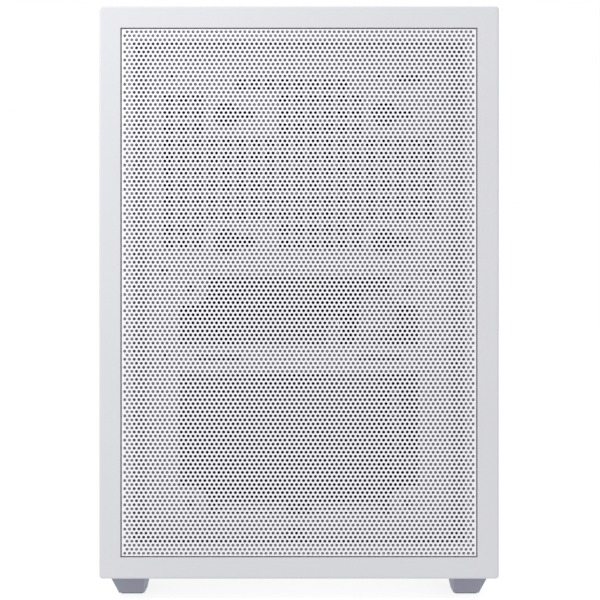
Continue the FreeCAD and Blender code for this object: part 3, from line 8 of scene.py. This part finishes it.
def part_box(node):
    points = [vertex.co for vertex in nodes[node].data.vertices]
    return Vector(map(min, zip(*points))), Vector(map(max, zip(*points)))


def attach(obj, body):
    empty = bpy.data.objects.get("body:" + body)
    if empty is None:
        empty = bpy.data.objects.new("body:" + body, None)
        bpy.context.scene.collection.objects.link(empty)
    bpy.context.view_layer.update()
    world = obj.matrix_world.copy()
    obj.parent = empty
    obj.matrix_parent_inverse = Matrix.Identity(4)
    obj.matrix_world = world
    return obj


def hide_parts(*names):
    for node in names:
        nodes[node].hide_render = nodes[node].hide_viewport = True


# A compact white desktop computer.  The frame gives the places of the CAD's parts, and what is
# added here is placed from them.  Lengths are in metres, or in millimetres times MM.

MM = 0.001

# Most of a noise texture's values lie between these two.
NOISE_LOW, NOISE_HIGH = 0.3, 0.7
SHADE_PATCHES = 14.0
ROUGHNESS_STRAY = 0.06
GRAIN_STRENGTH = 0.35

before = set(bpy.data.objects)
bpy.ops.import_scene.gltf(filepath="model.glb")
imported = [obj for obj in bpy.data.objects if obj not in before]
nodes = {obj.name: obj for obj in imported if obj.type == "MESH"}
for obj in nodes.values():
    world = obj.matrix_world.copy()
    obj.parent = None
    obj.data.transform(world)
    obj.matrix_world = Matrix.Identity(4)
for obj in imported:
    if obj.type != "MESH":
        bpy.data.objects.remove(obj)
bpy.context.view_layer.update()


def corners(node):
    """A node's (low, high) corners."""
    low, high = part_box(node)
    return list(low), list(high)


# ---------------------------------------------------------------- materials

def new_material(name):
    """A node material with its shader and a coordinate source in the object's own frame."""
    material = bpy.data.materials.new(name)
    material.use_nodes = True
    tree = material.node_tree
    shader = tree.nodes["Principled BSDF"]
    place = tree.nodes.new("ShaderNodeTexCoord").outputs["Object"]
    return material, tree, shader, place


def noise(tree, place, scale, detail=3.0, stretch=(1, 1, 1)):
    """A noise value, drawn out along the axes where stretch is small."""
    mapping = tree.nodes.new("ShaderNodeMapping")
    mapping.inputs["Scale"].default_value = stretch
    tree.links.new(place, mapping.inputs["Vector"])
    texture = tree.nodes.new("ShaderNodeTexNoise")
    texture.inputs["Scale"].default_value = scale
    texture.inputs["Detail"].default_value = detail
    tree.links.new(mapping.outputs["Vector"], texture.inputs["Vector"])
    return texture.outputs["Fac"]


def spread(tree, source, low, high):
    """A noise value mapped to the span from low to high."""
    node = tree.nodes.new("ShaderNodeMapRange")
    node.inputs["From Min"].default_value = NOISE_LOW
    node.inputs["From Max"].default_value = NOISE_HIGH
    node.inputs["To Min"].default_value = low
    node.inputs["To Max"].default_value = high
    tree.links.new(source, node.inputs["Value"])
    return node.outputs["Result"]


def tint(tree, shader, source, dark, light):
    """A colour that drifts between two near shades."""
    ramp = tree.nodes.new("ShaderNodeValToRGB")
    ramp.color_ramp.elements[0].position = NOISE_LOW
    ramp.color_ramp.elements[1].position = NOISE_HIGH
    ramp.color_ramp.elements[0].color = (*dark, 1)
    ramp.color_ramp.elements[1].color = (*light, 1)
    tree.links.new(source, ramp.inputs["Fac"])
    tree.links.new(ramp.outputs["Color"], shader.inputs["Base Color"])


def bump(tree, shader, source, height, strength):
    """A relief on the surface, height metres deep at full strength."""
    node = tree.nodes.new("ShaderNodeBump")
    node.inputs["Distance"].default_value = height
    node.inputs["Strength"].default_value = strength
    tree.links.new(source, node.inputs["Height"])
    tree.links.new(node.outputs["Normal"], shader.inputs["Normal"])


def shaded(name, colour, rough, grain, height, drift, metal=0.0, coat=0.0, stretch=(1, 1, 1)):
    """A surface with a slow drift of shade, uneven roughness and a fine grain.

    grain is the noise scale of the relief, height its depth in metres, and drift how far the
    colour strays from its value, as a share of it.
    """
    material, tree, shader, place = new_material(name)
    shader.inputs["Metallic"].default_value = metal
    shader.inputs["Coat Weight"].default_value = coat
    dark = [channel * (1 - drift) for channel in colour]
    light = [min(1.0, channel * (1 + drift)) for channel in colour]
    tint(tree, shader, noise(tree, place, SHADE_PATCHES), dark, light)
    fine = noise(tree, place, grain, 2.0, stretch)
    roughness = spread(tree, fine, rough - ROUGHNESS_STRAY, rough + ROUGHNESS_STRAY)
    tree.links.new(roughness, shader.inputs["Roughness"])
    bump(tree, shader, fine, height, GRAIN_STRENGTH)
    return material


def circuit_material(name, base):
    """Solder mask with thin copper tracks showing through it."""
    track_scale, track_width, track_height = 55, 0.03, 0.00006
    field_gain, track_gain = 1.5, 2.6
    gloss_patches, smoothest, roughest = 600, 0.30, 0.45
    track_strength = 0.6
    material, tree, shader, place = new_material(name)
    bricks = tree.nodes.new("ShaderNodeTexBrick")
    mapping = tree.nodes.new("ShaderNodeMapping")
    mapping.inputs["Rotation"].default_value = (0, math.radians(90), 0)
    tree.links.new(place, mapping.inputs["Vector"])
    tree.links.new(mapping.outputs["Vector"], bricks.inputs["Vector"])
    bricks.inputs["Scale"].default_value = track_scale
    bricks.inputs["Mortar Size"].default_value = track_width
    bricks.inputs["Color1"].default_value = (*base, 1)
    bricks.inputs["Color2"].default_value = (*[channel * field_gain for channel in base], 1)
    bricks.inputs["Mortar"].default_value = (*[channel * track_gain for channel in base], 1)
    tree.links.new(bricks.outputs["Color"], shader.inputs["Base Color"])
    roughness = spread(tree, noise(tree, place, gloss_patches), smoothest, roughest)
    tree.links.new(roughness, shader.inputs["Roughness"])
    bump(tree, shader, bricks.outputs["Fac"], track_height, track_strength)
    return material


WHITE = (0.515, 0.517, 0.543)
M = {
    "frame": shaded("powder_frame", WHITE, 0.42, 2600, 0.00006, 0.012),
    "mesh": shaded("powder_mesh", (0.68, 0.68, 0.71), 0.42, 2600, 0.00004, 0.012),
    "panel": shaded("powder_panel", WHITE, 0.44, 2400, 0.00008, 0.015),
    "chassis": shaded("powder_chassis", (0.47, 0.467, 0.49), 0.5, 2000, 0.00008, 0.03),
    "strip": shaded("strip_plastic", (0.53, 0.528, 0.556), 0.48, 3800, 0.00005, 0.01),
    "foot": shaded("foot_plastic", (0.26, 0.265, 0.33), 0.5, 3000, 0.00008, 0.04),
    "rubber": shaded("rubber", (0.022, 0.022, 0.024), 0.78, 1500, 0.0002, 0.15),
    "sleeve": shaded("lead_jacket", (0.02, 0.02, 0.022), 0.62, 900, 0.0001, 0.1),
    "black": shaded("black_plastic", (0.02, 0.02, 0.022), 0.45, 2800, 0.00006, 0.08),
    "blade": shaded("blade_plastic", (0.045, 0.046, 0.05), 0.38, 1800, 0.00004, 0.08),
    "black_steel": shaded("black_coat", (0.018, 0.018, 0.02), 0.4, 1500, 0.0002, 0.1),
    "nylon": shaded("nylon", (0.72, 0.71, 0.68), 0.4, 1200, 0.00005, 0.03),
    "steel": shaded("zinc_steel", (0.56, 0.57, 0.59), 0.3, 900, 0.00004, 0.06, metal=1.0,
                    stretch=(1, 1, 9)),
    "port_steel": shaded("port_steel", (0.30, 0.30, 0.32), 0.34, 900, 0.00004, 0.06, metal=1.0,
                         stretch=(1, 1, 9)),
    "aluminium": shaded("fin_aluminium", (0.72, 0.73, 0.75), 0.32, 700, 0.00003, 0.04, metal=1.0,
                        stretch=(1, 1, 12)),
    "copper": shaded("copper_tube", (0.78, 0.42, 0.26), 0.26, 500, 0.00003, 0.06, metal=1.0,
                     stretch=(9, 1, 1)),
    "board": circuit_material("board_mask", (0.012, 0.014, 0.016)),
    "light": shaded("light_pipe", (0.75, 0.82, 0.9), 0.25, 800, 0.00002, 0.02, coat=0.3),
}

FINISH = {
    "frame": ["front_frame"],
    "chassis": ["chassis_floor", "chassis_front_plate", "fan_cross_bar", "chassis_rear_plate",
                "chassis_top_frame", "board_tray", "psu_bracket", "slot_covers"],
    "nylon": ["panel_sockets", "front_studs", "left_panel_studs", "right_panel_studs",
              "top_panel_studs"],
    "strip": ["top_strip", "power_button"],
    "foot": ["foot_front_left", "foot_front_right", "foot_rear_left", "foot_rear_right"],
    "rubber": ["foot_pads"],
    "sleeve": ["mains_lead", "board_power_lead", "port_lead"],
    "black": ["front_sockets", "rear_fan_frame", "cooler_fan_frame", "psu_fan_frame",
              "power_inlet", "psu_sockets", "psu_rocker", "board_slots", "board_connectors",
              "mains_plug"],
    "blade": ["rear_fan_rotor", "cooler_fan_rotor", "psu_fan_rotor"],
    "black_steel": ["psu_housing", "psu_fan_guard"],
    "board": ["main_board", "front_port_board", "solid_state_drive", "psu_circuit"],
    "light": ["status_light"],
    "steel": ["standoffs", "socket_shield", "screws", "clock_battery"],
    "port_steel": ["rear_sockets"],
    "aluminium": ["cooler_fins", "cooler_base", "regulator_heat_sinks", "chipset_heat_sink",
                  "memory_modules", "processor"],
    "copper": ["heat_pipes"],
}
for finish, names in FINISH.items():
    for name in names:
        for socket in nodes[name].material_slots:
            socket.material = M[finish]

SOFT_EDGES = {
    "top_strip": 0.5, "power_inlet": 0.5, "psu_housing": 0.6, "foot_front_left": 0.3,
    "foot_front_right": 0.3, "foot_rear_left": 0.3, "foot_rear_right": 0.3, "mains_plug": 0.8,
    "rear_fan_frame": 0.5, "cooler_fan_frame": 0.5, "psu_rocker": 0.4, "foot_pads": 0.1,
    "memory_modules": 0.4, "rear_sockets": 0.2, "slot_covers": 0.15, "fan_cross_bar": 0.2,
}
for name, width in SOFT_EDGES.items():
    soft = nodes[name].modifiers.new("soft_edges", "BEVEL")
    soft.width = width * MM
    soft.segments = 2
    soft.limit_method = "ANGLE"
    soft.angle_limit = math.radians(50)


# ---------------------------------------------------------------- meshes

def mesh_piece(name, vertices, faces, material, body, slot, *replaced):
    """A mesh object that rides on a body.

    It stands for the CAD nodes in replaced, if any.  Its faces are turned to point outwards.  slot
    is not used.
    """
    mesh = bpy.data.meshes.new(name)
    mesh.from_pydata(vertices, [], faces)
    mesh.validate()
    outward = bmesh.new()
    outward.from_mesh(mesh)
    bmesh.ops.recalc_face_normals(outward, faces=outward.faces)
    outward.to_mesh(mesh)
    outward.free()
    mesh.materials.append(material)
    piece = bpy.data.objects.new(name, mesh)
    bpy.context.scene.collection.objects.link(piece)
    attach(piece, body)
    if replaced:
        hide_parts(*replaced)
    return piece


def perforated(across, up, depth, columns, rows, field, hole, first_row=0, last_row=None):
    """Vertices and faces of a closed sheet with staggered eight-sided holes.

    across, up and depth are (low, high) in the sheet's own directions, and field is the (low,
    high) pair across and up that the hole cells fill.  hole is the holes' radius.  Only the rows
    from first_row up to last_row are made, so that a sheet can be made in bands.
    """
    last_row = rows if last_row is None else last_row
    (left, right), (field_low, field_high) = field
    half_step = (right - left) / columns / 2
    row_step = (field_high - field_low) / rows
    line_x = [across[0], *(left + step * half_step for step in range(2 * columns + 1)), across[1]]
    lines = [field_low + row * row_step for row in range(first_row, last_row + 1)]
    margin_low = first_row == 0
    margin_high = last_row == rows
    if margin_low:
        lines.insert(0, up[0])
    if margin_high:
        lines.append(up[1])
    width = len(line_x)
    flat = [(x, y) for y in lines for x in line_x]

    def at(line, column):
        return line * width + column

    loops, rings = [], []
    base = 1 if margin_low else 0
    corner = math.radians(360 / 8)
    octagon = [(math.cos(corner * step), math.sin(corner * step)) for step in range(8)]
    for row in range(first_row, last_row):
        low = row - first_row + base
        high = low + 1
        shift = row % 2
        count = columns - shift
        middle = (lines[low] + lines[high]) / 2
        for hole_number in range(count):
            start = 1 + shift + 2 * hole_number
            centre = line_x[start + 1]
            ring = [len(flat) + step for step in range(8)]
            flat += [(centre + hole * cx, middle + hole * cy) for cx, cy in octagon]
            rings.append(ring)
            right_low, right_high = at(low, start + 2), at(high, start + 2)
            middle_low, middle_high = at(low, start + 1), at(high, start + 1)
            left_low, left_high = at(low, start), at(high, start)
            loops += [(right_low, right_high, ring[1], ring[0], ring[7]),
                      (right_high, middle_high, ring[2], ring[1]),
                      (middle_high, left_high, ring[3], ring[2]),
                      (left_high, left_low, ring[5], ring[4], ring[3]),
                      (left_low, middle_low, ring[6], ring[5]),
                      (middle_low, right_low, ring[7], ring[6])]
        left_margin = range(0, 2 + shift)
        right_margin = range(1 + shift + 2 * count, width)
        for margin in (left_margin, right_margin):
            loops.append([at(low, column) for column in margin]
                         + [at(high, column) for column in reversed(margin)])
    for there, line in ((margin_low, 0), (margin_high, len(lines) - 2)):
        if there:
            loops += [(at(line, column), at(line, column + 1), at(line + 1, column + 1),
                       at(line + 1, column)) for column in range(width - 1)]
    back = len(flat)
    faces = [tuple(loop) for loop in loops]
    faces += [tuple(index + back for index in reversed(loop)) for loop in loops]
    for ring in rings:
        for step, start in enumerate(ring):
            after = ring[(step + 1) % 8]
            faces.append((after, start, start + back, after + back))
    last = len(lines) - 1
    rim = [at(0, column) for column in range(width)]
    rim += [at(line, width - 1) for line in range(1, last + 1)]
    rim += [at(last, column) for column in range(width - 2, -1, -1)]
    rim += [at(line, 0) for line in range(last - 1, 0, -1)]
    for step, start in enumerate(rim):
        after = rim[(step + 1) % len(rim)]
        faces.append((start + back, after + back, after, start))
    points = [(x, y, depth[0]) for x, y in flat] + [(x, y, depth[1]) for x, y in flat]
    return points, faces


def facing_front(point):
    """A point of a flat sheet stood upright to face -Y, with its depth growing backwards."""
    return point[0], point[2], point[1]


def make_front_mesh():
    """The front sheet in three bands, and the edges that are folded back behind it."""
    low, high = corners("front_mesh")
    sheet, edge, hole = 0.8 * MM, 0.3 * MM, 0.78 * MM
    columns, rows, bands = 75, 130, 3
    field = ((low[0] + edge, high[0] - edge), (low[2] + edge, high[2] - edge))
    cuts = [rows * band // bands for band in range(bands + 1)]
    for band in range(bands):
        points, faces = perforated((low[0], high[0]), (low[2], high[2]),
                                   (low[1], low[1] + sheet), columns, rows, field, hole,
                                   cuts[band], cuts[band + 1])
        mesh_piece(f"front_mesh_band_{band + 1}", [facing_front(point) for point in points], faces,
                   M["mesh"], "front_panel", "mesh_white", "front_mesh")
    outer = [(low[0], low[2]), (high[0], low[2]), (high[0], high[2]), (low[0], high[2])]
    middle = ((low[0] + high[0]) / 2, (low[2] + high[2]) / 2)
    inner = [(x + math.copysign(sheet, middle[0] - x), z + math.copysign(sheet, middle[1] - z))
             for x, z in outer]
    fold = [(x, y, z) for y in (low[1] + sheet, high[1]) for x, z in outer + inner]
    faces = []
    for step in range(4):
        after = (step + 1) % 4
        faces += [(step, after, 4 + after, 4 + step),
                  (8 + after, 8 + step, 12 + step, 12 + after),
                  (after, step, 8 + step, 8 + after),
                  (4 + step, 4 + after, 12 + after, 12 + step)]
    mesh_piece("front_mesh_fold", fold, faces, M["mesh"], "front_panel", "mesh_white", "front_mesh")


def make_side_panel(side):
    """A flat side panel with a field of holes in its middle."""
    node = f"{side}_panel"
    low, high = corners(node)
    columns, rows = 54, 44
    pitch, row_pitch, hole = 4.4 * MM, 3.85 * MM, 0.95 * MM
    middle = ((low[1] + high[1]) / 2, (low[2] + high[2]) / 2)
    field = ((middle[0] - columns * pitch / 2, middle[0] + columns * pitch / 2),
             (middle[1] - rows * row_pitch / 2, middle[1] + rows * row_pitch / 2))
    points, faces = perforated((low[1], high[1]), (low[2], high[2]), (high[0], low[0]),
                               columns, rows, field, hole)
    mesh_piece(f"{side}_panel_sheet", [(depth, y, z) for y, z, depth in points],
               faces, M["panel"], node, "panel_white", node)


def bent_edge(low, high, skirt, radius, sheet, sign, name):
    """The rounded fold along one side of the top panel and the skirt below it."""
    centre_x = (high[0] if sign > 0 else low[0]) - sign * radius
    centre_z = high[2] - radius
    turns = [math.radians(90 - 15 * step) for step in range(7)]
    outer, inner = [
        [(centre_x + sign * reach * math.cos(turn), centre_z + reach * math.sin(turn))
         for turn in turns]
        for reach in (radius, radius - sheet)]
    foot = high[2] - skirt
    outer.append((outer[-1][0], foot))
    inner.append((inner[-1][0], foot))
    profile = outer + inner[::-1]
    count = len(profile)
    points = [(x, y, z) for y in (low[1], high[1]) for x, z in profile]
    faces = [(step, (step + 1) % count, count + (step + 1) % count, count + step)
             for step in range(count)]
    faces += [tuple(range(count))[::-1], tuple(range(count, 2 * count))]
    if sign > 0:
        faces = [face[::-1] for face in faces]
    mesh_piece(name, points, faces, M["panel"], "top_panel", "panel_white", "top_panel")


def make_top_panel():
    """The flat of the top panel with its holes, and the fold along each side."""
    low, high = corners("top_panel")
    skirt = high[2] - low[2]
    radius, sheet = 2.2 * MM, 1.0 * MM
    columns, rows = 42, 96
    pitch, row_pitch, hole = 3.1 * MM, 2.7 * MM, 0.62 * MM
    middle = (low[1] + high[1]) / 2
    field = ((-columns * pitch / 2, columns * pitch / 2),
             (middle - rows * row_pitch / 2, middle + rows * row_pitch / 2))
    points, faces = perforated((low[0] + radius, high[0] - radius), (low[1], high[1]),
                               (high[2], high[2] - sheet), columns, rows, field, hole)
    mesh_piece("top_panel_sheet", points, faces, M["panel"], "top_panel", "panel_white", "top_panel")
    for sign, name in ((-1, "top_panel_left_fold"), (1, "top_panel_right_fold")):
        bent_edge(low, high, skirt, radius, sheet, sign, name)


def add_block(shapes, centre, size):
    """A box added to a mesh that is being built."""
    place = Matrix.Translation(centre) @ Matrix.Diagonal((*size, 1))
    bmesh.ops.create_cube(shapes, size=1.0, matrix=place)


def taken_out(shapes):
    """The vertices and faces of a mesh that was being built, which is then freed."""
    shapes.verts.index_update()
    vertices = [vertex.co[:] for vertex in shapes.verts]
    faces = [[vertex.index for vertex in face.verts] for face in shapes.faces]
    shapes.free()
    return vertices, faces


def on_board(blocks, cans):
    """A mesh of square blocks and round cans standing on the board's component face.

    A block is (y, z, wide, tall, high) and a can is (y, z, radius, high), all in millimetres
    from the board's lower front corner.
    """
    low, _ = corners("main_board")
    upright = Matrix.Rotation(math.radians(90), 4, "Y")
    round_off, sharp = 0.25 * MM, 1.0
    shapes = bmesh.new()
    for y, z, wide, tall, height in blocks:
        centre = (low[0] - height / 2 * MM, low[1] + y * MM, low[2] + z * MM)
        add_block(shapes, centre, (height * MM, wide * MM, tall * MM))
    for y, z, radius, height in cans:
        centre = (low[0] - height / 2 * MM, low[1] + y * MM, low[2] + z * MM)
        bmesh.ops.create_cone(shapes, cap_ends=True, segments=24, radius1=radius * MM,
                              radius2=radius * MM, depth=height * MM,
                              matrix=Matrix.Translation(centre) @ upright)
    edges = [edge for edge in shapes.edges if edge.calc_face_angle(0) > sharp]
    bmesh.ops.bevel(shapes, geom=edges, offset=round_off, segments=2, affect="EDGES")
    return taken_out(shapes)


def make_socket_tongues():
    """The black insulator at the bottom of each rear socket and the tongue that stands in it.

    A socket is (lift above the board's lower edge, width up the board, height off the board,
    number of mouths), in millimetres.
    """
    sockets = [(226, 14, 16, 2), (207, 17, 22, 2), (188, 14, 16, 2), (166, 14, 16, 2),
               (143, 16, 29, 1)]
    wall, mouth_depth, tip_depth = 2.0, 12.5, 1.5
    insulator_thickness, tongue_thickness = 1.5, 1.6
    outer_wall, inner_wall = 1.2, 0.6
    insulator_margin, tongue_margin = 1.8, 4.8
    board_low, _ = corners("main_board")
    _, socket_high = corners("rear_sockets")
    bottom = socket_high[1] - mouth_depth * MM
    tip = socket_high[1] - tip_depth * MM
    shapes = bmesh.new()
    for lift, wide, tall, mouths in sockets:
        pitch = (tall - wall) / mouths
        level = board_low[2] + lift * MM
        for mouth in range(mouths):
            outer = board_low[0] + (mouth * pitch + outer_wall - tall) * MM
            inner = board_low[0] + (mouth * pitch + pitch - inner_wall - tall) * MM
            middle = (outer + inner) / 2
            add_block(shapes, (middle, bottom + insulator_thickness / 2 * MM, level),
                      (inner - outer, insulator_thickness * MM, (wide - insulator_margin) * MM))
            add_block(shapes, (middle, (bottom + tip) / 2, level),
                      (tongue_thickness * MM, tip - bottom, (wide - tongue_margin) * MM))
    vertices, faces = taken_out(shapes)
    mesh_piece("rear_socket_tongues", vertices, faces, M["black"], "chassis", "black_plastic")


def make_board_parts():
    """Coils, capacitors, chips and pin headers of the main board."""
    coils = [(133 + 9 * step, 215.5, 6.8, 6.4, 5.5) for step in range(7)]
    chips = [(123, 43.7, 9, 9, 1.2), (143, 43.7, 6, 6, 1.1), (213, 43, 8, 8, 1.2),
             (33, 97, 14, 14, 1.4), (53, 127, 8, 8, 1.2), (213, 77, 7, 7, 1.1),
             (52, 160, 5, 7, 1.0), (26, 225, 7, 5, 1.0)]
    headers = [(113 + 17 * step, 4, 11, 5, 7) for step in range(5)]
    vertices, faces = on_board(coils + chips + headers, [])
    mesh_piece("board_chips", vertices, faces, M["black"], "chassis", "black_plastic")
    cans = [(217, 155 + 8 * step, 3.1, 8) for step in range(8)]
    cans += [(68, 107 + 20 * step, 2.5, 6) for step in range(7)]
    vertices, faces = on_board([], cans)
    mesh_piece("board_capacitors", vertices, faces, M["aluminium"], "chassis", "bare_aluminium")


make_board_parts()
make_socket_tongues()
make_front_mesh()
make_side_panel("left")
make_side_panel("right")
make_top_panel()


# ---------------------------------------------------------------- stage, light and camera

def area_light(name, place, target, size, power):
    """A rectangular lamp that points at a target and isn't seen itself."""
    data = bpy.data.lights.new(name, "AREA")
    data.shape = "RECTANGLE"
    data.size, data.size_y = size
    data.energy = power
    light = bpy.data.objects.new(name, data)
    light.location = place
    direction = [t - p for t, p in zip(target, place)]
    light.rotation_euler = Vector(direction).to_track_quat("-Z", "Y").to_euler()
    light.visible_camera = False
    bpy.context.scene.collection.objects.link(light)


def make_floor():
    """A wide grey sheet that looks white by its own light, so that the shadow on it stays faint."""
    reach = 6.0
    dark, light = (0.24, 0.24, 0.242), (0.26, 0.26, 0.262)
    patches, roughness, own_light = 3.0, 0.7, 0.80
    mesh = bpy.data.meshes.new("floor")
    mesh.from_pydata([(-reach, -reach, 0), (reach, -reach, 0), (reach, reach, 0),
                      (-reach, reach, 0)], [], [(0, 1, 2, 3)])
    material, tree, shader, place = new_material("floor_paper")
    tint(tree, shader, noise(tree, place, patches), dark, light)
    shader.inputs["Roughness"].default_value = roughness
    shader.inputs["Emission Color"].default_value = (1, 1, 1, 1)
    shader.inputs["Emission Strength"].default_value = own_light
    mesh.materials.append(material)
    floor = bpy.data.objects.new("floor", mesh)
    bpy.context.scene.collection.objects.link(floor)


def make_camera():
    """In front of the middle of the case, level, a little below its centre line.

    case_share is how much of the picture's width the front of the case takes.
    """
    distance, aside, drop = 0.700, 0.5 * MM, 3.55 * MM
    case_share = 0.667
    low, high = corners("front_frame")
    seen_width = (high[0] - low[0]) / case_share
    data = bpy.data.cameras.new("camera")
    data.sensor_width = 36
    data.lens = data.sensor_width * distance / seen_width
    data.clip_start = 0.01
    camera = bpy.data.objects.new("camera", data)
    camera.location = (aside, low[1] - distance, (low[2] + high[2]) / 2 - drop)
    camera.rotation_euler = (math.radians(90), 0, 0)
    bpy.context.scene.collection.objects.link(camera)
    bpy.context.scene.camera = camera


def make_world():
    """An even white surround."""
    world = bpy.data.worlds.new("studio")
    world.use_nodes = True
    background = world.node_tree.nodes["Background"]
    background.inputs["Color"].default_value = (1, 1, 1, 1)
    background.inputs["Strength"].default_value = 1.0
    bpy.context.scene.world = world


make_world()
bpy.context.scene.view_settings.view_transform = "Standard"
make_floor()
make_camera()
area_light("key", place=(-0.40, -0.52, 0.60), target=(-0.02, -0.17, 0.18), size=(0.25, 0.25),
           power=2.7)
